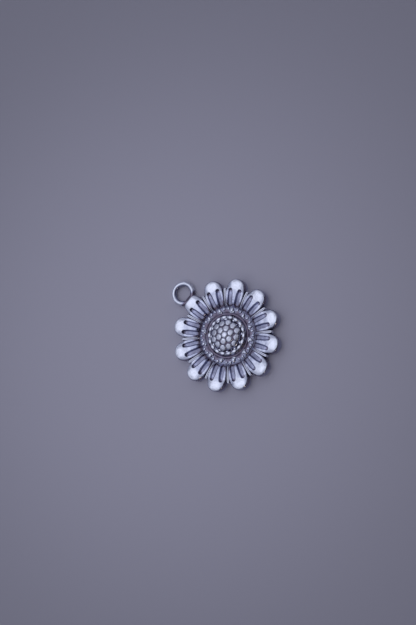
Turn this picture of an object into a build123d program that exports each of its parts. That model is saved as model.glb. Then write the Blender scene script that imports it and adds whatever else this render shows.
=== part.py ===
from build123d import *
from collections import namedtuple
from math import asin, atan2, cos, pi, radians, sin, sqrt
import os

# A cast flower pendant with a hanging ring, in millimetres.
# Origin: centre of the flat back. +Z out of the flower's face, +Y towards the ring.

# Petals
flower_radius = 10.0          # centre to a petal's tip
petal_count = 12
petal_tip_radius = 1.7        # the rounded tip, seen from the front
petal_side_radius = 9.4       # of the gently bowed sides
petal_height = 1.95           # crest above the back
rim_round = 0.22              # rounding of the petals' upper edge

# Two grooves in each petal
groove_setback = 1.83         # a petal's tip to the grooves' outer end
groove_width = 0.6
groove_depth = 0.5            # below the petals' crest
groove_spacing = 1.66         # between the two grooves' middles at their outer ends
finger_root = 0.32            # width of the finger between two grooves, at their inner ends

# Sepals that show between the petals
sepal_reach = 8.47            # centre to a sepal's tip
sepal_tip_radius = 0.5
sepal_height = 1.45
sepal_flare = 6.0             # degrees by which each side opens towards the centre
vein_width = 0.14
vein_depth = 0.12
vein_setback = 0.45           # a sepal's tip to the vein's outer end

# Dome with round beads
dome_radius = 2.5
dome_height = 2.25
dome_curve = 4.8              # radius of its curved face
bead_pitch = 1.11
bead_face = 1.05              # across one bead where it leaves the dome
bead_rise = 0.25
bead_limit = 0.9              # share of the dome's radius that holds bead centres
bead_corners = 6              # beads round the middle one, and corners of each ring of beads
bead_roundness = 0.5          # 0 sets a ring's beads on a hexagon, 1 on a circle

# Groove round the dome, and the ridge with its ring of oblong beads
dome_groove_width = 0.22      # from the dome's edge to the groove's lowest line
dome_groove_height = 1.12
ridge_inner_width = 0.46      # from that line to the ridge's crest
ridge_height = 1.3
ridge_bead_count = 18
ridge_bead_width = 0.64
ridge_bead_gap = 0.19
ridge_bead_rise = 0.27        # above the ridge
ridge_lobe_length = 0.84      # lobes on the ridge's inner side, one between each two petals
ridge_lobe_width = 0.48
ridge_lobe_rise = 0.16        # above the ridge
ridge_lobe_setback = 0.28     # from the ridge's crest inwards to their middle

# Collar with its drops: a large one at each petal's middle and a small one at either side
ridge_outer_width = 0.58      # from the ridge's crest to the next groove's lowest line
collar_groove_height = 0.85
collar_inner_width = 0.64     # from that line to the collar's crest
collar_height = 1.12
large_drop_setback = 0.12     # from the collar's crest to its middle
large_drop_length = 0.9
large_drop_width = 0.6
large_drop_rise = 0.28        # above the collar
drop_foot_length = 1.1        # the large drop's broad inner end, across the drop
drop_foot_width = 0.6
drop_foot_rise = 0.16         # above the collar
drop_foot_setback = 0.15      # from the collar's crest inwards to its middle
small_drop_setback = 0.32
small_drop_length = 0.84
small_drop_width = 0.5
small_drop_rise = 0.17
small_drop_turn = 10.3        # degrees from the petal's middle

# Valley where petals and sepals run out against the collar
collar_outer_width = 0.65     # from the collar's crest to the valley
valley_height = 0.92
root_overlap = 0.35           # how far petals and sepals run on under the collar

# Hanging ring
ring_hole = 2.7
ring_wire = 0.88
ring_land = 0.02              # how deep the hole is reamed into the wire
ring_lift = 0.02              # the wire above the back's plane
ring_sink = 0.22              # how far the ring goes into the petal's flat end
ring_flat = 0.37              # how much shorter that petal is than the others
ring_flat_round = 0.5         # rounding of the flat end's corners

# A petal's top from tip to root, as shares of its length and of petal_height
Station = namedtuple("Station", "place height")
petal_stations = (
    Station(1.00, 0.90),
    Station(0.70, 1.00),
    Station(0.36, 0.93),
    Station(0.19, 0.75),
    Station(0.00, 0.30),
)
# The same for a groove's floor, where the height is a share of the floor's own crest
floor_stations = (
    Station(1.00, 0.98),
    Station(0.62, 1.00),
    Station(0.32, 0.93),
    Station(0.17, 0.82),
    Station(0.00, 0.42),
)
# The same for a sepal's top, where the height is a share of sepal_height
sepal_stations = (
    Station(1.00, 0.90),
    Station(0.71, 1.00),
    Station(0.37, 0.93),
    Station(0.24, 0.82),
    Station(0.00, 0.40),
)

dome_groove_radius = dome_radius + dome_groove_width
ridge_radius = dome_groove_radius + ridge_inner_width
collar_groove_radius = ridge_radius + ridge_outer_width
collar_radius = collar_groove_radius + collar_inner_width
valley_radius = collar_radius + collar_outer_width
root_radius = valley_radius - root_overlap
petal_pitch = 360 / petal_count
tip_centre = flower_radius - petal_tip_radius


def turned(shape, count, start=0.0):
    # The shape repeated evenly about the flower's middle
    return [Rot(0, 0, start + 360 * i / count) * shape for i in range(count)]


def swept_round(lines):
    # A solid of revolution from a closed outline of radius and height
    return revolve(Plane.XZ * make_face(lines), Axis.Z)


def profile_points(stations, reach, height):
    # A station's place runs from 0 at root_radius to 1 at the reach
    return [(root_radius + s.place * (reach - root_radius), s.height * height) for s in stations]


def under_stations(stations, reach, height):
    # Everything below a profile of two arcs that meet at its middle station
    p = profile_points(stations, reach, height)
    top = ThreePointArc(p[0], p[1], p[2]) + ThreePointArc(p[2], p[3], p[4])
    sides = Polyline(p[4], (p[4][0], 0), (p[0][0], 0), p[0])
    return swept_round(top + sides)


def above_stations(stations, reach, height, ceiling):
    # Everything above the same kind of profile, up to a ceiling
    p = profile_points(stations, reach, height)
    floor = ThreePointArc(p[0], p[1], p[2]) + ThreePointArc(p[2], p[3], p[4])
    sides = Polyline(p[4], (p[4][0], ceiling), (p[0][0], ceiling), p[0])
    return swept_round(floor + sides)


def petal(cut_back=0.0):
    # One petal along +Y: a drop-shaped wall, its crowned top and its rounded upper edge
    aside = petal_side_radius - petal_tip_radius
    point = (0, tip_centre - sqrt(petal_side_radius ** 2 - aside ** 2))
    turn = asin((tip_centre - point[1]) / petal_side_radius) / 2
    bow = (petal_side_radius * cos(turn) - aside, tip_centre - petal_side_radius * sin(turn))
    right = (petal_tip_radius, tip_centre)
    left = (-petal_tip_radius, tip_centre)
    outline = (
        ThreePointArc(point, bow, right)
        + ThreePointArc(right, (0, flower_radius), left)
        + ThreePointArc(left, (-bow[0], bow[1]), point)
    )
    drop = make_face(outline)
    if cut_back > 0:
        reach = flower_radius - cut_back
        drop &= Pos(0, reach / 2) * Rectangle(4 * petal_tip_radius, reach)
        drop = fillet(drop.vertices().sort_by(Axis.Y)[-2:], ring_flat_round)
    wall = extrude(drop, petal_height)
    body = wall & under_stations(petal_stations, flower_radius, petal_height)
    tops = body.faces().filter_by(GeomType.TORUS)
    seams = [e for a in tops for e in a.edges() for b in tops
             if a is not b and any(e.is_same(o) for o in b.edges())]
    rim = [e for f in tops for e in f.edges()
           if not any(e.is_same(s) for s in seams)
           and sqrt(e.center().X ** 2 + e.center().Y ** 2) > root_radius + rim_round]
    return fillet(rim, rim_round)


def groove_cutter(side):
    # One groove's space: a slot with round ends above the groove's floor
    outer = flower_radius - groove_setback - groove_width / 2
    outer_x = groove_spacing / 2
    outer_y = sqrt(outer ** 2 - outer_x ** 2)
    inner_x = (finger_root + groove_width) / 2
    length = sqrt((outer_x - inner_x) ** 2 + (outer_y - root_radius) ** 2)
    lean = atan2(outer_x - inner_x, outer_y - root_radius) * 180 / pi
    slot = Rot(0, 0, 90 - side * lean) * SlotCenterToCenter(length, groove_width)
    middle = Pos(side * (outer_x + inner_x) / 2, (outer_y + root_radius) / 2)
    floor_crest = petal_height - groove_depth
    above = above_stations(floor_stations, flower_radius, floor_crest, 2 * petal_height)
    return extrude(middle * slot, 2 * petal_height) & above


def grooved_petals():
    # All petals, each cut by its two grooves, with a flat end where the ring joins
    cutters = [groove_cutter(1), groove_cutter(-1)]
    plain = turned(petal() - cutters, petal_count)
    return [petal(ring_flat) - cutters] + plain[1:]


def sepals():
    # Narrow sepals in the gaps, each with a vein down its middle
    flare = radians(sepal_flare)
    tip_y = sepal_reach - sepal_tip_radius
    right = (sepal_tip_radius * cos(flare), tip_y + sepal_tip_radius * sin(flare))
    foot = right[0] + (right[1] - root_radius) * sin(flare) / cos(flare)
    outline = (
        Polyline((-right[0], right[1]), (-foot, root_radius), (foot, root_radius), right)
        + ThreePointArc(right, (0, sepal_reach), (-right[0], right[1]))
    )
    body = extrude(make_face(outline), petal_height)
    body &= under_stations(sepal_stations, sepal_reach, sepal_height)
    vein_end = sepal_reach - vein_setback - vein_width / 2
    slot = Rot(0, 0, 90) * SlotCenterToCenter(vein_end - root_radius, vein_width)
    vein = extrude(Pos(0, (vein_end + root_radius) / 2) * slot, 2 * petal_height)
    vein &= above_stations(sepal_stations, sepal_reach, sepal_height - vein_depth,
                           2 * petal_height)
    return turned(body - vein, petal_count, petal_pitch / 2)


def hub():
    # Collar, ridge and dome as one turned form
    dome_centre = dome_height - dome_curve
    dome_edge = dome_centre + sqrt(dome_curve ** 2 - dome_radius ** 2)
    half = dome_radius / 2
    dome_middle = dome_centre + sqrt(dome_curve ** 2 - half ** 2)
    valley = (valley_radius, valley_height)
    collar_groove = (collar_groove_radius, collar_groove_height)
    dome_groove = (dome_groove_radius, dome_groove_height)
    top = (
        ThreePointArc(valley, (collar_radius, collar_height), collar_groove)
        + ThreePointArc(collar_groove, (ridge_radius, ridge_height), dome_groove)
        + Line(dome_groove, (dome_radius, dome_edge))
        + ThreePointArc((dome_radius, dome_edge), (half, dome_middle), (0, dome_height))
    )
    return swept_round(top + Polyline((0, dome_height), (0, 0), (valley_radius, 0), valley))


def oblong_bead(length, width):
    # A bead along X with rounded ends
    radius = width / 2
    straight = max(length / 2 - radius, radius / 10)
    bow = radius * sin(pi / 4)
    outline = (
        Line((-straight - radius, 0), (straight + radius, 0))
        + ThreePointArc((straight + radius, 0), (straight + bow, bow), (straight, radius))
        + Line((straight, radius), (-straight, radius))
        + ThreePointArc((-straight, radius), (-straight - bow, bow), (-straight - radius, 0))
    )
    return revolve(make_face(outline), Axis.X)


def collar_drops():
    # Drops that lie on the collar and point to the middle
    large = Rot(0, 0, 90) * oblong_bead(large_drop_length, large_drop_width)
    large_top = collar_height + large_drop_rise
    large = Pos(0, collar_radius + large_drop_setback, large_top - large_drop_width / 2) * large
    foot_height = collar_height + drop_foot_rise - drop_foot_width / 2
    foot = Pos(0, collar_radius - drop_foot_setback, foot_height)
    foot *= oblong_bead(drop_foot_length, drop_foot_width)
    small = Rot(0, 0, 90) * oblong_bead(small_drop_length, small_drop_width)
    small_top = collar_height + small_drop_rise
    small = Pos(0, collar_radius + small_drop_setback, small_top - small_drop_width / 2) * small
    return (
        turned(large, petal_count)
        + turned(foot, petal_count)
        + turned(small, petal_count, small_drop_turn)
        + turned(small, petal_count, -small_drop_turn)
    )


def ridge_beads():
    # Oblong beads that lie along the ridge, one on the ring's side
    pitch = 2 * pi * ridge_radius / ridge_bead_count
    bead = oblong_bead(pitch - ridge_bead_gap, ridge_bead_width)
    height = ridge_height + ridge_bead_rise - ridge_bead_width / 2
    return turned(Pos(0, ridge_radius, height) * bead, ridge_bead_count)


def ridge_lobes():
    # Low lobes on the ridge's inner side
    lobe = oblong_bead(ridge_lobe_length, ridge_lobe_width)
    height = ridge_height + ridge_lobe_rise - ridge_lobe_width / 2
    place = Pos(0, ridge_radius - ridge_lobe_setback, height)
    return turned(place * lobe, petal_count, petal_pitch / 2)


def dome_beads():
    # Low round beads sunk in the dome's face: one in the middle and rings about it
    half_face = bead_face / 2
    ball = (half_face ** 2 + bead_rise ** 2) / (2 * bead_rise)
    bead = Pos(0, 0, dome_curve + bead_rise - ball) * Sphere(ball)
    centre = Pos(0, 0, dome_height - dome_curve)
    half_side = pi / bead_corners
    beads = [centre * bead]
    for ring_number in range(1, int(dome_radius * bead_limit / bead_pitch) + 1):
        for i in range(bead_corners * ring_number):
            turn = 2 * half_side * i / ring_number
            flat = cos(half_side) / cos(turn % (2 * half_side) - half_side)
            reach = bead_pitch * ring_number * (flat + bead_roundness * (1 - flat))
            tilt = asin(reach / dome_curve) * 180 / pi
            beads.append(centre * Rot(0, 0, -turn * 180 / pi) * Rot(-tilt, 0, 0) * bead)
    return beads


def hanging_ring():
    # A closed ring of round wire at the petal on +Y, with its hole reamed clean
    middle = ring_hole / 2 - ring_land + ring_wire / 2
    y = flower_radius - ring_flat - ring_sink + middle + ring_wire / 2
    place = Pos(0, y, ring_lift + ring_wire / 2)
    wire = place * Torus(middle, ring_wire / 2)
    return wire, place * Cylinder(ring_hole / 2, 2 * ring_wire)


ring, ring_bore = hanging_ring()
flower = hub() + grooved_petals() + sepals()
flower = flower + collar_drops() + ridge_beads() + ridge_lobes() + dome_beads()
pendant = (flower + ring) - ring_bore

os.makedirs("parts", exist_ok=True)
export_step(pendant, "parts/flower_pendant.step")
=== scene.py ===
import bpy
import bmesh
import math
import random
from mathutils import Matrix, Vector


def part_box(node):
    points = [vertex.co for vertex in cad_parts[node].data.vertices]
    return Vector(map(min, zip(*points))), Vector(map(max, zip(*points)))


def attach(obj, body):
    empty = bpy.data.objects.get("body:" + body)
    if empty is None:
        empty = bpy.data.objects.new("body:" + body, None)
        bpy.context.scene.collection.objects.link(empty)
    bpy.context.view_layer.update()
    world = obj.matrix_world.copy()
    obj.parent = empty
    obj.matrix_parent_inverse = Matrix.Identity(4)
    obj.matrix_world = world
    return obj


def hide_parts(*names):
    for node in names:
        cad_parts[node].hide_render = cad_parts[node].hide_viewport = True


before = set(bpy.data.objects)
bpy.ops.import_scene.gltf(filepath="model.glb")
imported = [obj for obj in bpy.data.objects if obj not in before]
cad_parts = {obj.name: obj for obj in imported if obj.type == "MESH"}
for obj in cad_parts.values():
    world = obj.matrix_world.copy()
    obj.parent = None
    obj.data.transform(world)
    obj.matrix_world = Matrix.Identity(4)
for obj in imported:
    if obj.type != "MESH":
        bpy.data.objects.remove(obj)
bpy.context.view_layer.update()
print("frame loaded")

# The pieces are modelled in millimetres and scaled to metres when they are finished.
mm = 0.001
node = "flower_pendant"
low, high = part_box(node)
flowerRadius = high.x / mm
ringReach = high.y / mm
domeTop = high.z / mm

# Camera: the photograph's view, tilted off the vertical, turned and rolled
cameraLook = {
    "distance": 0.300,
    "lens": 99.5,
    "sensor": 36.0,
    "clip": (0.01, 20),
    "aimHeight": 0.0018,        # the petals' upper edge, where the framing was measured
    "offsetRight": 0.00304,     # the flower's middle lies right of the picture's middle
    "offsetDown": 0.00392,
    "tilt": 23.2,               # off the vertical
    "bearing": 18.4,            # how far the tilt's direction lies below the picture's right
    "ringTurn": 48.55,          # the ring's bearing, left of the picture's top
}


def pictureAxes():
    # the picture's right and up, laid flat on the table, in the pendant's own frame
    turn = math.radians(cameraLook["ringTurn"])
    flatRight = Vector((math.cos(turn), -math.sin(turn), 0))
    flatUp = Vector((math.sin(turn), math.cos(turn), 0))
    return flatRight, flatUp


def makeCamera():
    tilt = math.radians(cameraLook["tilt"])
    bearing = math.radians(cameraLook["bearing"])
    flatRight, flatUp = pictureAxes()
    lean = math.cos(bearing) * flatRight - math.sin(bearing) * flatUp
    across = -math.sin(bearing) * flatRight - math.cos(bearing) * flatUp
    back = math.sin(tilt) * lean + math.cos(tilt) * Vector((0, 0, 1))
    along = math.cos(tilt) * lean - math.sin(tilt) * Vector((0, 0, 1))
    right = math.cos(bearing) * along - math.sin(bearing) * across
    down = math.sin(bearing) * along + math.cos(bearing) * across
    data = bpy.data.cameras.new("photoCamera")
    data.lens = cameraLook["lens"]
    data.sensor_width = cameraLook["sensor"]
    data.clip_start, data.clip_end = cameraLook["clip"]
    camera = bpy.data.objects.new("photoCamera", data)
    bpy.context.scene.collection.objects.link(camera)
    place = Vector((0, 0, cameraLook["aimHeight"])) + cameraLook["distance"] * back
    place -= cameraLook["offsetRight"] * right + cameraLook["offsetDown"] * down
    turn = Matrix((right, -down, back)).transposed().to_4x4()
    camera.matrix_world = Matrix.Translation(place) @ turn
    bpy.context.scene.camera = camera


makeCamera()
print("camera placed")


# Shader maths: a wire is one output of a node, and sums of wires add Math nodes.
class Wire:
    def __init__(self, paint, socket):
        self.paint = paint
        self.socket = socket

    def maths(self, operation, first, second):
        return self.paint.node("ShaderNodeMath", {"operation": operation}, {0: first, 1: second})

    def __add__(self, other):
        return self.maths("ADD", self, other)

    def __sub__(self, other):
        return self.maths("SUBTRACT", self, other)

    def __mul__(self, other):
        return self.maths("MULTIPLY", self, other)


class Paint:
    def __init__(self, name):
        self.material = bpy.data.materials.new(name)
        self.material.use_nodes = True
        self.tree = self.material.node_tree
        self.shader = self.tree.nodes["Principled BSDF"]

    def feed(self, node, key, value):
        if isinstance(value, Wire):
            self.tree.links.new(value.socket, node.inputs[key])
        else:
            node.inputs[key].default_value = value

    def node(self, kind, settings, inputs, output=0):
        made = self.tree.nodes.new(kind)
        for key, value in settings.items():
            if key == "stops":
                ramp = made.color_ramp
                while len(ramp.elements) < len(value):
                    ramp.elements.new(1)
                for element, (place, colour) in zip(ramp.elements, value):
                    element.position = place
                    element.color = colour
            else:
                setattr(made, key, value)
        for key, value in inputs.items():
            self.feed(made, key, value)
        return Wire(self, made.outputs[output])

    def finish(self, **inputs):
        for key, value in inputs.items():
            self.feed(self.shader, key.replace("_", " "), value)
        return self.material


silverLook = {
    # from clean silver through a bluish film to the dark patina, by the share of patina and painted
    # shade
    "tones": ((0.12, (0.765, 0.785, 0.87, 1)), (0.48, (0.44, 0.465, 0.62, 1)),
              (0.85, (0.215, 0.18, 0.24, 1))),
    "roughTones": ((0.12, (0, 0, 0, 1)), (0.85, (1, 1, 1, 1))),
    "polish": 0.08,             # roughness of the rubbed faces
    "patinaRough": 0.22,        # what the patina adds to it
    "cloudPatina": 0.45,        # how strongly the clouds thicken or thin the patina
    # noises, with their scale per metre and what they add to the roughness and the relief
    "clouds": {"scale": 700, "detail": 3.0, "rough": 0.10, "relief": 20.0},
    "grain": {"scale": 7000, "detail": 2.0, "relief": 0.5},
    "hairs": {"scale": 2600, "detail": 4.0, "rough": 0.06, "relief": 0.25},
    "hairTurn": (0.0, 0.0, 0.7),
    "hairStretch": (1.0, 0.06, 0.3),
    "bump": 0.000006,
}


def makeSilver(name, patinaBase=0.0, extraRough=0.0):
    look = silverLook
    paint = Paint(name)
    place = paint.node("ShaderNodeTexCoord", {}, {}, "Object")
    stretched = paint.node("ShaderNodeMapping", {}, {
        "Vector": place, "Rotation": look["hairTurn"], "Scale": look["hairStretch"]})

    def noise(kind, where):
        return paint.node("ShaderNodeTexNoise", {}, {
            "Vector": where, "Scale": kind["scale"], "Detail": kind["detail"]}, "Fac")

    clouds = noise(look["clouds"], place)
    grain = noise(look["grain"], place)
    hairs = noise(look["hairs"], stretched)
    # this attribute holds real patina in the hollows and painted shade on fingers, tip sides,
    # outlines and roots
    recess = paint.node("ShaderNodeAttribute", {"attribute_name": "recess"}, {}, "Fac")
    share = recess + (clouds - 0.5) * look["cloudPatina"] + patinaBase
    shade = paint.node("ShaderNodeValToRGB", {"stops": look["tones"]}, {"Fac": share})
    mask = paint.node("ShaderNodeValToRGB", {"stops": look["roughTones"]}, {"Fac": share})
    rough = mask * look["patinaRough"] + (look["polish"] + extraRough)
    rough += (clouds - 0.5) * look["clouds"]["rough"] + (hairs - 0.5) * look["hairs"]["rough"]
    relief = grain * look["grain"]["relief"] + clouds * look["clouds"]["relief"]
    relief += hairs * look["hairs"]["relief"]
    normal = paint.node("ShaderNodeBump", {}, {
        "Strength": 1.0, "Distance": look["bump"], "Height": relief})
    return paint.finish(Base_Color=shade, Metallic=1.0, Roughness=rough, Normal=normal)


polishedSilver = makeSilver("polishedSilver")
wornSilver = makeSilver("wornSilver", extraRough=0.13)
castSilver = makeSilver("castSilver", patinaBase=0.08, extraRough=0.10)
print("silver made")


def ease(start, end, value):
    # 0 before start, 1 after end, smooth between them
    t = min(1.0, max(0.0, (value - start) / (end - start)))
    return t * t * (3 - 2 * t)


def fade(row, value):
    # a row is an amount, where it starts and where it is full
    amount, start, end = row
    return amount * ease(start, end, value)


def heightAt(stations, radius):
    # a smooth line through a table of (radius, height) rows, in order of radius
    last = len(stations) - 1
    if radius <= stations[0][0]:
        return stations[0][1]
    if radius >= stations[last][0]:
        return stations[last][1]
    i = max(k for k in range(last) if stations[k][0] <= radius)

    def slope(k):
        a, b = stations[max(k - 1, 0)], stations[min(k + 1, last)]
        return (b[1] - a[1]) / (b[0] - a[0])

    (r0, h0), (r1, h1) = stations[i], stations[i + 1]
    span = r1 - r0
    t = (radius - r0) / span
    return ((2 * t ** 3 - 3 * t ** 2 + 1) * h0 + (t ** 3 - 2 * t ** 2 + t) * span * slope(i)
            + (3 * t ** 2 - 2 * t ** 3) * h1 + (t ** 3 - t ** 2) * span * slope(i + 1))


def newVerts(result):
    return [g for g in result["geom"] if isinstance(g, bmesh.types.BMVert)]


def finishPiece(bm, name, material, sharpAngle=40):
    # closes a piece: doubles, normals, metres, shading, and what it rides on and stands for
    bmesh.ops.remove_doubles(bm, verts=bm.verts, dist=1e-5)
    bmesh.ops.recalc_face_normals(bm, faces=bm.faces)
    for face in bm.faces:
        face.smooth = True
    for edge in bm.edges:
        edge.smooth = edge.calc_face_angle(0) < math.radians(sharpAngle)
    bmesh.ops.scale(bm, vec=(mm, mm, mm), verts=bm.verts)
    mesh = bpy.data.meshes.new(name)
    bm.to_mesh(mesh)
    bm.free()
    mesh.materials.append(material)
    piece = bpy.data.objects.new(name, mesh)
    bpy.context.scene.collection.objects.link(piece)
    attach(piece, "root")
    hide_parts(node)
    return piece


def repeatAround(bm, count):
    # the whole mesh again, evenly about the flower's middle
    bmesh.ops.spin(bm, geom=bm.verts[:] + bm.edges[:] + bm.faces[:], cent=(0, 0, 0), axis=(0, 0, 1),
                   angle=math.tau * (count - 1) / count, steps=count - 1, use_duplicate=True)


plate = {
    "petals": 12,
    "thickness": 0.25,
    "edgeRound": 0.08,
    "edgeCells": 4,
    "petalCells": 48,           # half round a petal's tip
    "sepalCells": 16,
}

petal = {
    "tipRadius": 1.7,
    "bow": 0.055,               # how the sides bend in towards the root
    "root": 4.75,
    "foot": plate["thickness"],
    "across": 48,               # cells from the middle to the edge
    "rimCells": 10,             # of them in the rounded rim
    "aroundTip": 96,
    "rows": 90,
    "rimRound": (0.27, 0.09),   # how far in the rim's rounding reaches, at the tip and beside grooves
    "rimFrom": (8.7, 7.6),      # where it has the one and the other
    "rimDeep": 0.34,
    "crown": 0.34,              # how far the tip's sides fall away
    "crownRoot": 0.15,          # the share of that at the root
    "tipFrom": (7.6, 8.6),      # radii between which the grooved part turns into the tip
    "flatPower": 14,            # how sharp the flat end's corners are
    "sidePatina": 0.2,
}
petal["tipCentre"] = flowerRadius - petal["tipRadius"]
petal["flatEnd"] = flowerRadius - 0.37      # where the petal at the ring is cut off
petalCrest = ((4.70, 0.60), (5.10, 0.78), (5.26, 1.00), (5.40, 1.27), (5.56, 1.47), (5.76, 1.58),
              (6.10, 1.65), (6.60, 1.72), (7.20, 1.79), (7.90, 1.87), (8.50, 1.94), (9.00, 1.965),
              (9.45, 1.94), (10.0, 1.83))

groove = {
    "end": 7.93,                # middle of the round outer end
    "endAside": 0.88,           # its distance from the petal's middle line
    "spread": 0.095,            # how fast the grooves open outwards
    "innerHalf": 0.36,          # middle of the floor to halfway up the wall by the middle finger
    "outerHalf": 0.325,
    "endHalf": 0.27,
    "endFrom": (7.2, 7.9),      # radii between which it narrows to that
    "innerSlope": 0.14,         # a wall reaches this far to both sides of that
    "outerSlope": 0.07,
    "tilt": (0.08, -0.3, 0.35), # how much shallower the floor is at its outer side
}
grooveFloor = ((4.70, 0.58), (5.10, 0.76), (5.50, 0.97), (6.00, 1.12), (6.60, 1.27), (7.20, 1.38),
               (7.60, 1.42), (8.00, 1.37), (8.30, 1.36))

# Patina in a petal's grooves, and painted shade: the fingers' tops, the tip's sides, the outline and
# the root are darkened where shade falls. Three numbers are an amount and the radii where it starts
# and is full.
petalPatinaAndShade = {
    "floor": 0.58,              # in a groove: patina, deepened as painted shade
    "floorEnd": (0.14, 7.6, 8.0),
    "floorRoot": (-0.06, 6.0, 5.3),
    # the groove's walls: painted shade on the inner one, painted light on the outer one
    "innerWall": 0.22,
    "outerWall": -0.20,
    "finger": 0.32,             # painted shade on the fingers between and beside the grooves
    "fingerRoot": (0.12, 7.3, 6.1),
    "outerRoot": (0.35, 6.5, 5.9),
    "root": (0.35, 5.75, 5.35),
    "tipSide": (0.24, 0.12, 0.75),      # painted shade on the tip's sides, by the share of the tip's half width
    "edge": (0.5, 0.96),        # painted dark outline: amount, and the share of the half width where it starts
    "edgeAtTip": (0.2, -0.05),  # what the tip adds to both
}


def petalHalfWidth(y):
    # below the round tip the sides bend in gently
    off = y - petal["tipCentre"]
    if off > 0:
        return math.sqrt(max(0.0, petal["tipRadius"] ** 2 - off ** 2))
    return petal["tipRadius"] - petal["bow"] * off ** 2


def sepalHalfWidth(y):
    return sepal["tipRadius"] + (sepal["tipCentre"] - y) * math.tan(math.radians(sepal["flare"]))


def dropSheet(form, halfWidth):
    # a flat drop: its half-round tip is spun from a row of points, and rows are drawn inward from it
    bm = bmesh.new()
    centre = form["tipCentre"]
    ends = [bm.verts.new((0, centre, 0)), bm.verts.new((form["tipRadius"], centre, 0))]
    row = bm.edges.new(ends)
    bmesh.ops.subdivide_edges(bm, edges=[row], cuts=form["across"] - 1)
    bmesh.ops.spin(bm, geom=bm.verts[:] + bm.edges[:], cent=(0, centre, 0), axis=(0, 0, 1),
                   angle=math.pi, steps=form["aroundTip"])
    bmesh.ops.remove_doubles(bm, verts=bm.verts, dist=1e-5)
    edges = [e for e in bm.edges if e.is_boundary and all(v.co.y < centre + 1e-4 for v in e.verts)]
    step = (centre - form["root"]) / form["rows"]
    for i in range(form["rows"]):
        made = bmesh.ops.extrude_edge_only(bm, edges=edges)
        verts = newVerts(made)
        fresh = set(verts)
        edges = [g for g in made["geom"] if isinstance(g, bmesh.types.BMEdge)
                 and all(v in fresh for v in g.verts)]
        y = centre - step * i
        share = halfWidth(y - step) / halfWidth(y)
        bmesh.ops.translate(bm, verts=verts, vec=(0, -step, 0))
        bmesh.ops.scale(bm, verts=verts, vec=(share, 1, 1))
    return bm


def shapeSheet(bm, form, halfWidth, surface, flatEnd=None):
    # bunches the outer cells into a rounded rim and lifts every point to its height
    layer = bm.verts.layers.float.new("recess")
    centre = Vector((0, form["tipCentre"], 0))
    inner = 1 - form["rimCells"] / form["across"]
    for v in bm.verts:
        if v.co.y > centre.y:
            way, reach = v.co - centre, form["tipRadius"]
            hub = centre
        else:
            way, reach = Vector((v.co.x, 0, 0)), halfWidth(v.co.y)
            hub = Vector((0, v.co.y, 0))
        s = way.length / reach
        if flatEnd and way.y > 1e-4:
            chord = (flatEnd - centre.y) * way.length / way.y
            power = form["flatPower"]
            reach = (reach ** -power + chord ** -power) ** (-1 / power)
        wide, slim = form["rimRound"]
        rim = slim + (wide - slim) * ease(form["rimFrom"][1], form["rimFrom"][0], v.co.y)
        flat = reach - rim
        drop = 0.0
        if s <= inner:
            out = s / inner * flat
        else:
            turn = (s - inner) / (1 - inner) * math.pi / 2
            out = flat + rim * math.sin(turn)
            drop = form["rimDeep"] * (1 - math.cos(turn))
        if way.length > 1e-6:
            v.co = hub + way.normalized() * out
        height, recess = surface(v.co.x, v.co.y, out / reach)
        v.co.z = height - drop
        v[layer] = recess


def wallDown(bm, form):
    # straight sides from the sheet's edge to its foot, and a floor that closes them
    edges = [e for e in bm.edges if e.is_boundary]
    made = bmesh.ops.extrude_edge_only(bm, edges=edges)
    verts = newVerts(made)
    fresh = set(verts)
    layer = bm.verts.layers.float["recess"]
    for v in verts:
        v.co.z = form["foot"]
        v[layer] = form["sidePatina"]
    loop = [g for g in made["geom"] if isinstance(g, bmesh.types.BMEdge)
            and all(v in fresh for v in g.verts)]
    bmesh.ops.edgeloop_fill(bm, edges=loop)


def petalSurface(x, y, s):
    radius = math.hypot(x, y)
    look = petalPatinaAndShade
    tip = ease(*petal["tipFrom"], radius)
    aside = min(1.0, abs(x) / petal["tipRadius"])
    crown = petal["crown"] * (petal["crownRoot"] + (1 - petal["crownRoot"]) * tip)
    top = heightAt(petalCrest, radius) - crown * aside ** 3
    off = abs(x) - groove["endAside"] - groove["spread"] * (radius - groove["end"])
    endY = math.sqrt(groove["end"] ** 2 - groove["endAside"] ** 2)
    if y > endY:
        away = math.hypot(abs(x) - groove["endAside"], y - endY)
    else:
        away = abs(off)
    inner = off < 0 or y > endY
    half = groove["innerHalf"] if inner else groove["outerHalf"]
    half += ease(*groove["endFrom"], radius) * (groove["endHalf"] - half)
    slope = groove["innerSlope"] if inner else groove["outerSlope"]
    inGroove = 1 - ease(half - slope, half + slope, away)
    depth = max(0.0, top - heightAt(grooveFloor, radius)) * (1 - fade(groove["tilt"], off))
    # walls, fingers, the tip's sides, the outline and the root get painted shade (the outer wall
    # painted light); the floor holds patina deepened as painted shade
    wall = 4 * inGroove * (1 - inGroove) * (look["innerWall"] if inner else look["outerWall"])
    floor = look["floor"] + fade(look["floorEnd"], radius) + fade(look["floorRoot"], radius)
    finger = look["finger"] * (1 - tip) + fade(look["fingerRoot"], radius)
    if not inner:
        finger += fade(look["outerRoot"], radius)
    edge, edgeFrom = (a + b * tip for a, b in zip(look["edge"], look["edgeAtTip"]))
    flankShade = tip * fade(look["tipSide"], aside) + edge * ease(edgeFrom, 1.0, s)
    flankShade += fade(look["root"], radius)
    recess = inGroove * floor + (1 - inGroove) * finger + wall + flankShade
    return top - inGroove * depth, min(1.0, max(0.0, recess))


def petalBody(flatEnd=None):
    bm = dropSheet(petal, petalHalfWidth)
    shapeSheet(bm, petal, petalHalfWidth, petalSurface, flatEnd)
    wallDown(bm, petal)
    return bm


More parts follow.
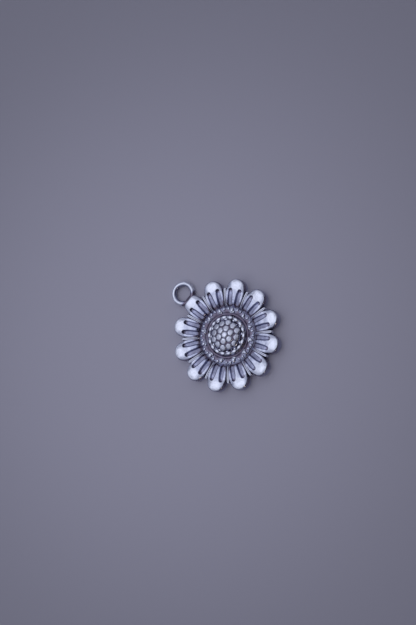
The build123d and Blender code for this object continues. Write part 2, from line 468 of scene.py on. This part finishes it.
def makePetals():
    # the petal at the ring has a flat end, and the other eleven are turned copies of one
    finishPiece(petalBody(petal["flatEnd"]), "petal01", polishedSilver)
    pattern = bpy.data.meshes.new("petalPattern")
    whole = petalBody()
    whole.to_mesh(pattern)
    whole.free()
    for i in range(1, plate["petals"]):
        bm = bmesh.new()
        bm.from_mesh(pattern)
        bmesh.ops.rotate(bm, verts=bm.verts, cent=(0, 0, 0),
                         matrix=Matrix.Rotation(math.tau * i / plate["petals"], 3, "Z"))
        finishPiece(bm, f"petal{i + 1:02d}", polishedSilver)
    bpy.data.meshes.remove(pattern)


makePetals()
print("petals made")


sepal = {
    "reach": 8.47,
    "tipRadius": 0.5,
    "flare": 4.0,
    "root": 4.75,
    "foot": plate["thickness"],
    "across": 22,
    "rimCells": 5,
    "aroundTip": 48,
    "rows": 70,
    "rimRound": (0.20, 0.14),
    "rimFrom": (8.3, 7.8),
    "rimDeep": 0.22,
    "ridge": 0.15,              # two low ridges, this far from the middle
    "vein": 0.045,              # depth of the vein between them
    "side": 0.30,               # how far the sides fall away to the petals
    "sideReach": 0.34,
    "veinFrom": (1.0, 8.4, 8.1),
    "leastHeight": 0.05,        # above its foot
    "sidePatina": 0.2,
    "patina": 0.06,
    # painted shade on the sides that fall to the petals and at the root; in the vein, patina deepened
    # as painted shade
    "slopeShade": (0.25, 0.2, 0.8),
    "veinPatinaAndShade": 0.1,
    "rootShade": (0.25, 6.6, 5.5),
}
sepal["tipCentre"] = sepal["reach"] - sepal["tipRadius"]
sepalCrest = ((4.70, 0.60), (5.05, 0.80), (5.50, 1.08), (6.00, 1.27), (6.60, 1.38),
              (7.40, 1.46), (8.00, 1.45), (8.50, 1.36))


def sepalSurface(x, y, s):
    radius = math.hypot(x, y)
    off = abs(x) - sepal["ridge"]
    side = max(0.0, off / (sepal["sideReach"] - sepal["ridge"]))
    vein = min(1.0, max(0.0, -off / sepal["ridge"])) ** 2
    hollow = sepal["side"] * side ** 2 + sepal["vein"] * vein * fade(sepal["veinFrom"], radius)
    # patina and painted shade
    recess = sepal["patina"] + sepal["veinPatinaAndShade"] * vein
    recess += fade(sepal["slopeShade"], side) + fade(sepal["rootShade"], radius)
    height = heightAt(sepalCrest, radius) - hollow
    return max(sepal["foot"] + sepal["leastHeight"], height), min(1.0, recess)


def makeSepals():
    bm = dropSheet(sepal, sepalHalfWidth)
    shapeSheet(bm, sepal, sepalHalfWidth, sepalSurface)
    wallDown(bm, sepal)
    bmesh.ops.rotate(bm, verts=bm.verts, cent=(0, 0, 0),
                     matrix=Matrix.Rotation(math.pi / plate["petals"], 3, "Z"))
    repeatAround(bm, plate["petals"])
    finishPiece(bm, "sepals", polishedSilver)


makeSepals()
print("sepals made")


def makePlate():
    # the flat back with the flower's whole outline, from half of one petal and one sepal
    bm = bmesh.new()
    petalCentre = Vector((0, petal["tipCentre"], 0))
    lean = math.pi / plate["petals"]
    sepalCentre = sepal["tipCentre"] * Vector((math.sin(lean), math.cos(lean), 0))
    gap = sepalCentre - petalCentre
    along = (petal["tipRadius"] ** 2 - sepal["tipRadius"] ** 2 + gap.length ** 2) / (2 * gap.length)
    aside = math.sqrt(max(0.0, petal["tipRadius"] ** 2 - along ** 2))
    outward = Vector((-gap.y, gap.x, 0)).normalized()
    meet = petalCentre + gap.normalized() * along + outward * aside
    tip = bm.verts.new((0, flowerRadius, 0))
    turn = (meet - petalCentre).angle(Vector((0, 1, 0)))
    bmesh.ops.spin(bm, geom=[tip], cent=petalCentre, axis=(0, 0, 1), angle=-turn,
                   steps=plate["petalCells"])
    corner = bm.verts.new(meet)
    turn = (meet - sepalCentre).angle(sepalCentre)
    bmesh.ops.spin(bm, geom=[corner], cent=sepalCentre, axis=(0, 0, 1), angle=-turn,
                   steps=plate["sepalCells"])
    bmesh.ops.mirror(bm, geom=bm.verts[:] + bm.edges[:], axis="X", merge_dist=1e-4)
    repeatAround(bm, plate["petals"])
    bmesh.ops.remove_doubles(bm, verts=bm.verts, dist=1e-4)
    for v in bm.verts:
        v.co.y = min(v.co.y, petal["flatEnd"])
    face = bmesh.ops.edgeloop_fill(bm, edges=bm.edges[:])["faces"]
    made = bmesh.ops.extrude_face_region(bm, geom=face)
    bmesh.ops.translate(bm, verts=newVerts(made), vec=(0, 0, plate["thickness"]))
    bmesh.ops.recalc_face_normals(bm, faces=bm.faces)
    under = [e for e in bm.edges if all(abs(v.co.z) < 1e-6 for v in e.verts)]
    bmesh.ops.bevel(bm, geom=under, offset=plate["edgeRound"], offset_type="OFFSET",
                    affect="EDGES", segments=plate["edgeCells"], profile=0.5, material=-1)
    finishPiece(bm, "backPlate", castSilver)


makePlate()
print("plate made")


hub = {
    "reach": 5.30,
    "foot": 0.12,
    "cells": 140,               # from the middle outwards
    "steps": 360,
}
hubCrest = ((0.00, 2.250), (0.60, 2.212), (1.20, 2.098), (1.80, 1.900), (2.20, 1.716), (2.50, 1.500),
            (2.68, 1.240), (2.84, 1.100), (2.96, 1.160), (3.08, 1.270), (3.20, 1.300), (3.34, 1.250),
            (3.48, 1.120), (3.65, 0.930), (3.80, 0.860), (3.95, 0.890), (4.15, 1.000), (4.40, 1.060),
            (4.65, 1.050), (4.90, 0.970), (5.10, 0.860), (5.30, 0.780))

# Patina and painted shade on the hub: darker between the dome's beads, in the grooves, on the collar
# and in the valley. Three numbers are an amount and the radii where it starts and is full.
hubPatinaAndShadeLook = {
    "dome": (1.0, 2.6, 2.4),
    "line": 2.74,               # radius of the dark line round the dome
    "lineSwing": 0.05,          # it runs round the outer beads' ends
    "lineHalf": 0.15,
    "groove": (0.85, 3.35, 3.6),
    "grooveEnd": (1.0, 4.1, 3.9),
    "collar": (0.60, 3.9, 4.1),
    "collarCrest": (-0.15, 4.7, 4.9),
    "valley": (0.25, 4.9, 5.2),
    "between": (0.25, 3.9, 4.1),        # painted shade on the collar between two petals
    "betweenEnd": (1.0, 4.8, 4.5),
}


def petalTurn(x, y):
    # degrees from the nearest petal's middle
    pitch = 360 / plate["petals"]
    return (math.degrees(math.atan2(x, y)) + pitch / 2) % pitch - pitch / 2


def hubPatinaAndShadeShare(radius, turn):
    # patina and painted shade: dark between the dome's beads, in both grooves and on the collar
    look = hubPatinaAndShadeLook
    wave = math.cos(math.radians(turn * plate["petals"]))
    line = look["line"] + look["lineSwing"] * wave
    dark = math.exp(-((radius - line) / look["lineHalf"]) ** 2)
    dark += fade(look["dome"], radius)
    dark += fade(look["groove"], radius) * fade(look["grooveEnd"], radius)
    for part in ("collar", "collarCrest", "valley"):
        dark += fade(look[part], radius)
    between = fade(look["between"], radius) * fade(look["betweenEnd"], radius)
    return min(1.0, dark + between * (1 - wave) / 2)


def makeHub():
    bm = bmesh.new()
    layer = bm.verts.layers.float.new("recess")
    ends = [bm.verts.new((0, 0, 0)), bm.verts.new((hub["reach"], 0, 0))]
    line = bm.edges.new(ends)
    bmesh.ops.subdivide_edges(bm, edges=[line], cuts=hub["cells"] - 1)
    for v in bm.verts:
        v.co.z = heightAt(hubCrest, v.co.x)
    rim = max(bm.verts, key=lambda v: v.co.x)
    foot = bm.verts.new((hub["reach"], 0, hub["foot"]))
    middle = bm.verts.new((0, 0, hub["foot"]))
    bm.edges.new((rim, foot))
    bm.edges.new((foot, middle))
    bmesh.ops.spin(bm, geom=bm.verts[:] + bm.edges[:], cent=(0, 0, 0), axis=(0, 0, 1),
                   angle=math.tau, steps=hub["steps"], use_merge=True)
    for v in bm.verts:
        radius = math.hypot(v.co.x, v.co.y)
        if v.co.z > hub["foot"] + 0.01:
            v[layer] = hubPatinaAndShadeShare(radius, petalTurn(v.co.x, v.co.y))
    finishPiece(bm, "hub", polishedSilver)


makeHub()
print("hub made")


domeBead = {
    "rings": ((1, 0.0, 0.0), (6, 1.11, 1.11), (12, 2.22, 2.07)),    # count, even and odd radii
    "halfWidth": 0.565,
    "halfHeight": 0.32,
    "rise": 0.25,
    "squareness": 3.6,          # 2 is an ellipsoid, more is flatter on top
    "corners": 0.035,           # how far the six corners stand out
    "curve": 4.8,               # radius of the dome's face
    "cells": (36, 36),
    "dark": (0.1, 0.6),         # heights in the bead between which the patina and painted shade end
}


def pillow(bm, layer, form):
    # a flattened ball in a bead's own directions, with patina and painted shade towards its foot
    around, upwards = form["cells"]
    made = bmesh.ops.create_uvsphere(bm, u_segments=around, v_segments=upwards, radius=1)
    power = form["squareness"]
    for v in made["verts"]:
        out = min(1.0, math.hypot(v.co.x, v.co.y))
        height = math.copysign((1 - out ** power) ** (1 / power), v.co.z)
        v[layer] = 1 - ease(*form["dark"], height)
        corner = 1 + form["corners"] * math.cos(6 * math.atan2(v.co.y, v.co.x))
        v.co.x *= corner * form["halfWidth"]
        v.co.y *= corner * form["halfWidth"]
        v.co.z = height * form["halfHeight"]
    return made["verts"]


def makeDomeBeads():
    bm = bmesh.new()
    layer = bm.verts.layers.float.new("recess")
    crest = domeTop - domeBead["rise"]
    lift = domeBead["curve"] + domeBead["rise"] - domeBead["halfHeight"]
    for count, evenReach, oddReach in domeBead["rings"]:
        for i in range(count):
            reach = oddReach if i % 2 else evenReach
            turn = math.tau * i / count
            x, y = reach * math.sin(turn), reach * math.cos(turn)
            up = Vector((x, y, math.sqrt(domeBead["curve"] ** 2 - reach * reach))).normalized()
            place = Vector((0, 0, crest - domeBead["curve"])) + up * lift
            verts = pillow(bm, layer, domeBead)
            bmesh.ops.rotate(bm, verts=verts, cent=(0, 0, 0),
                             matrix=Vector((0, 0, 1)).rotation_difference(up).to_matrix())
            bmesh.ops.translate(bm, verts=verts, vec=place)
    finishPiece(bm, "domeBeads", wornSilver)


ridgeBead = {
    "count": 18,
    "radius": 3.18,
    "halfWidth": 0.32,
    "halfHeight": 0.32,
    "squareness": 2.8,
    "corners": 0.0,
    "gap": 0.06,
    "top": 1.57,
    "cells": (32, 28),
    "dark": (0.35, 0.8),
}


def makeRidgeBeads():
    bm = bmesh.new()
    layer = bm.verts.layers.float.new("recess")
    verts = pillow(bm, layer, ridgeBead)
    stretch = math.pi * ridgeBead["radius"] / ridgeBead["count"] - ridgeBead["gap"] / 2
    bmesh.ops.scale(bm, verts=verts, vec=(stretch / ridgeBead["halfWidth"], 1, 1))
    bmesh.ops.translate(bm, verts=verts, vec=(0, ridgeBead["radius"],
                                              ridgeBead["top"] - ridgeBead["halfHeight"]))
    repeatAround(bm, ridgeBead["count"])
    finishPiece(bm, "ridgeBeads", wornSilver)


# At each petal's middle a large drop with its broad foot, a small one at either side of them on the
# collar, and a lobe on the ridge between two petals
drops = (
    {"turn": 0.0, "radius": 4.56, "halfLength": 0.47, "halfWidth": 0.34, "halfHeight": 0.30,
     "top": 1.45, "dark": 0.22},
    {"turn": 0.0, "radius": 4.30, "halfLength": 0.32, "halfWidth": 0.58, "halfHeight": 0.28,
     "top": 1.30, "dark": 0.15},
    {"turn": 10.3, "radius": 4.76, "halfLength": 0.38, "halfWidth": 0.29, "halfHeight": 0.28,
     "top": 1.24, "dark": 0.32},
    {"turn": -10.3, "radius": 4.76, "halfLength": 0.38, "halfWidth": 0.29, "halfHeight": 0.28,
     "top": 1.24, "dark": 0.32},
    {"turn": 15.0, "radius": 2.90, "halfLength": 0.24, "halfWidth": 0.42, "halfHeight": 0.28,
     "top": 1.46, "dark": 0.0},
)
dropLook = {
    "cells": (32, 20),
    "footPatinaAndShade": 0.7,          # patina and painted shade added where a drop meets the collar
    "footHeight": 0.5,          # the share of its height up to which it is dark
    "slim": (0.85, -0.15, -0.35),       # its width along its length: a curve's three factors
    "droop": -0.35,             # how its height falls outwards
    # how much the drops differ
    "sizeSpread": 0.12,
    "radiusSpread": 0.05,
    "heightSpread": 0.04,
    "turnSpread": 1.0,
    "swingSpread": 0.25,
}


def makeDrops():
    # each is a little different, as cast by hand
    bm = bmesh.new()
    layer = bm.verts.layers.float.new("recess")
    chance = random.Random(4)
    look = dropLook

    def about(middle, spread):
        return chance.uniform(middle - look[spread], middle + look[spread])

    for i in range(plate["petals"]):
        for form in drops:
            size = about(1, "sizeSpread")
            radius = about(form["radius"], "radiusSpread")
            height = about(form["top"] - form["halfHeight"], "heightSpread")
            turn = about(form["turn"] + 360 * i / plate["petals"], "turnSpread")
            swing = about(0, "swingSpread")
            halves = (form["halfWidth"] * size, form["halfLength"], form["halfHeight"], 1)
            place = (Matrix.Rotation(math.radians(turn), 4, "Z")
                     @ Matrix.Translation((0, radius, height))
                     @ Matrix.Rotation(swing, 4, "Z") @ Matrix.Diagonal(halves))
            around, upwards = look["cells"]
            ball = bmesh.ops.create_uvsphere(bm, u_segments=around, v_segments=upwards, radius=1)
            for v in ball["verts"]:
                x, y, z = v.co
                # patina and painted shade, darker towards the drop's foot
                v[layer] = form["dark"] + look["footPatinaAndShade"] * (1 - ease(0.0, look["footHeight"], z))
                if z > 0:
                    z = math.sqrt(max(0.0, 1 - (x * x + y * y) ** 2))
                outward = max(0.0, y)
                even, tapered, pointed = look["slim"]
                x *= even + tapered * y + pointed * outward ** 2
                z *= 1 + look["droop"] * outward
                v.co = place @ Vector((x, y, z))
    finishPiece(bm, "collarDrops", polishedSilver)


makeDomeBeads()
makeRidgeBeads()
makeDrops()
print("beads and drops made")


ring = {
    "hole": 1.35,
    "wire": 0.44,
    "ream": 0.02,
    "height": 0.46,
    "wireCells": 48,
    "steps": 144,
    "patina": 0.12,
    "petalPatinaAndShade": (0.8, -1.0, -1.5),   # painted shade and patina towards the petal, by the distance from the hole's middle
    # painted shade on the wire's inner side
    "innerPatinaAndShade": 0.5,
    "footHalves": (1.22, 0.46, 0.36),   # half the solder foot that joins it to the petal
    "footPlace": 10.0,
    "footCells": (48, 24),
    # the solder foot is painted nearly dark, as the shade between ring and petal
    "footPatinaAndShade": 0.95,
}


def makeRing():
    bm = bmesh.new()
    layer = bm.verts.layers.float.new("recess")
    middle = ring["hole"] + ring["wire"] - ring["ream"]
    y = ringReach - middle - ring["wire"]
    upright = Matrix.Translation((middle, 0, 0)) @ Matrix.Rotation(math.pi / 2, 4, "X")
    bmesh.ops.create_circle(bm, segments=ring["wireCells"], radius=ring["wire"], matrix=upright)
    for v in bm.verts:
        v.co.x = max(v.co.x, ring["hole"])
    bmesh.ops.spin(bm, geom=bm.verts[:] + bm.edges[:], cent=(0, 0, 0), axis=(0, 0, 1),
                   angle=math.tau, steps=ring["steps"], use_merge=True)
    for v in bm.verts:
        inside = ease(middle, ring["hole"], math.hypot(v.co.x, v.co.y))
        # patina and painted shade towards the petal and on the inner side
        v[layer] = ring["patina"] + fade(ring["petalPatinaAndShade"], v.co.y) + ring["innerPatinaAndShade"] * inside
    bmesh.ops.translate(bm, verts=bm.verts, vec=(0, y, ring["height"]))
    around, upwards = ring["footCells"]
    made = bmesh.ops.create_uvsphere(bm, u_segments=around, v_segments=upwards, radius=1)
    for v in made["verts"]:
        v[layer] = ring["footPatinaAndShade"]
    bmesh.ops.scale(bm, verts=made["verts"], vec=ring["footHalves"])
    bmesh.ops.translate(bm, verts=made["verts"], vec=(0, ring["footPlace"], ring["height"]))
    finishPiece(bm, "hangingRing", polishedSilver)


makeRing()
print("ring made")


# the floor's colour holds a painted pool of light, pale near the flower and darker further off
floorLook = {
    "halfSize": 3.0,
    "near": (0.560, 0.540, 0.618, 1),
    "far": (0.348, 0.336, 0.384, 1),
    "middle": (-0.0066, 0.0075, 0),     # the middle of the painted pool of light, left of the flower
    "lightPoolReach": 0.085,         # where the painted pool of light has faded to the far shade
    "roughness": 0.85,
}


def makeFloor():
    bm = bmesh.new()
    bmesh.ops.create_grid(bm, x_segments=1, y_segments=1, size=floorLook["halfSize"])
    mesh = bpy.data.meshes.new("floor")
    bm.to_mesh(mesh)
    bm.free()
    paint = Paint("floorPaint")
    place = paint.node("ShaderNodeTexCoord", {}, {}, "Object")
    # painted pool of light: the colour fades from the near shade to the far one
    away = paint.node("ShaderNodeVectorMath", {"operation": "SUBTRACT"}, {
        0: place, 1: floorLook["middle"]})
    reach = paint.node("ShaderNodeVectorMath", {"operation": "LENGTH"}, {0: away}, "Value")
    fade = paint.node("ShaderNodeMapRange", {"interpolation_type": "SMOOTHERSTEP"}, {
        "Value": reach, "From Min": 0.0, "From Max": floorLook["lightPoolReach"]})
    shade = paint.node("ShaderNodeMix", {"data_type": "RGBA"}, {
        0: fade, 6: floorLook["near"], 7: floorLook["far"]}, 2)
    mesh.materials.append(paint.finish(Base_Color=shade, Roughness=floorLook["roughness"]))
    piece = bpy.data.objects.new("floor", mesh)
    bpy.context.scene.collection.objects.link(piece)


# Lights: tilt is from the vertical, bearing is in the picture, clockwise from its top
lights = {
    "window": {"tilt": 11, "bearing": 290, "distance": 0.55, "size": (1.5, 0.95), "spread": 150,
               "power": 1.86, "colour": (0.78, 0.83, 1.0)},
    "wallUp": {"tilt": 68, "bearing": 20, "distance": 0.80, "size": (1.6, 0.6), "spread": 180,
               "power": 0.65, "colour": (0.74, 0.80, 1.0)},
    "wallDown": {"tilt": 68, "bearing": 215, "distance": 0.80, "size": (1.6, 0.6), "spread": 180,
                 "power": 0.65, "colour": (0.74, 0.80, 1.0)},
    "wall": {"tilt": 70, "bearing": 296, "distance": 0.80, "size": (1.6, 0.6), "spread": 180,
             "power": 1.0, "colour": (0.74, 0.80, 1.0)},
    "glow": {"tilt": 20, "bearing": 288, "distance": 0.55, "size": (0.42, 0.42), "spread": 60,
             "power": 0.030, "colour": (0.86, 0.89, 1.0)},
    "lamp": {"tilt": 66, "bearing": 142, "distance": 0.60, "size": (0.06, 0.06), "spread": 180,
             "power": 0.10, "colour": (1.0, 0.80, 0.64)},
}
worldLook = {"colour": (0.68, 0.60, 0.80, 1), "strength": 0.062}


def makeLights():
    flatRight, flatUp = pictureAxes()
    for name, look in lights.items():
        tilt, bearing = math.radians(look["tilt"]), math.radians(look["bearing"])
        way = math.sin(bearing) * flatRight + math.cos(bearing) * flatUp
        way = math.sin(tilt) * way + math.cos(tilt) * Vector((0, 0, 1))
        data = bpy.data.lights.new(name, "AREA")
        data.shape = "RECTANGLE"
        data.size, data.size_y = look["size"]
        data.spread = math.radians(look["spread"])
        data.energy = look["power"]
        data.color = look["colour"]
        lamp = bpy.data.objects.new(name, data)
        lamp.location = way * look["distance"]
        lamp.rotation_euler = way.to_track_quat("Z", "Y").to_euler()
        lamp.visible_camera = False
        bpy.context.scene.collection.objects.link(lamp)
    world = bpy.data.worlds.new("studio")
    world.use_nodes = True
    background = world.node_tree.nodes["Background"]
    background.inputs["Color"].default_value = worldLook["colour"]
    background.inputs["Strength"].default_value = worldLook["strength"]
    bpy.context.scene.world = world
    bpy.context.scene.view_settings.view_transform = "Standard"


makeFloor()
makeLights()
print("floor and lights made")
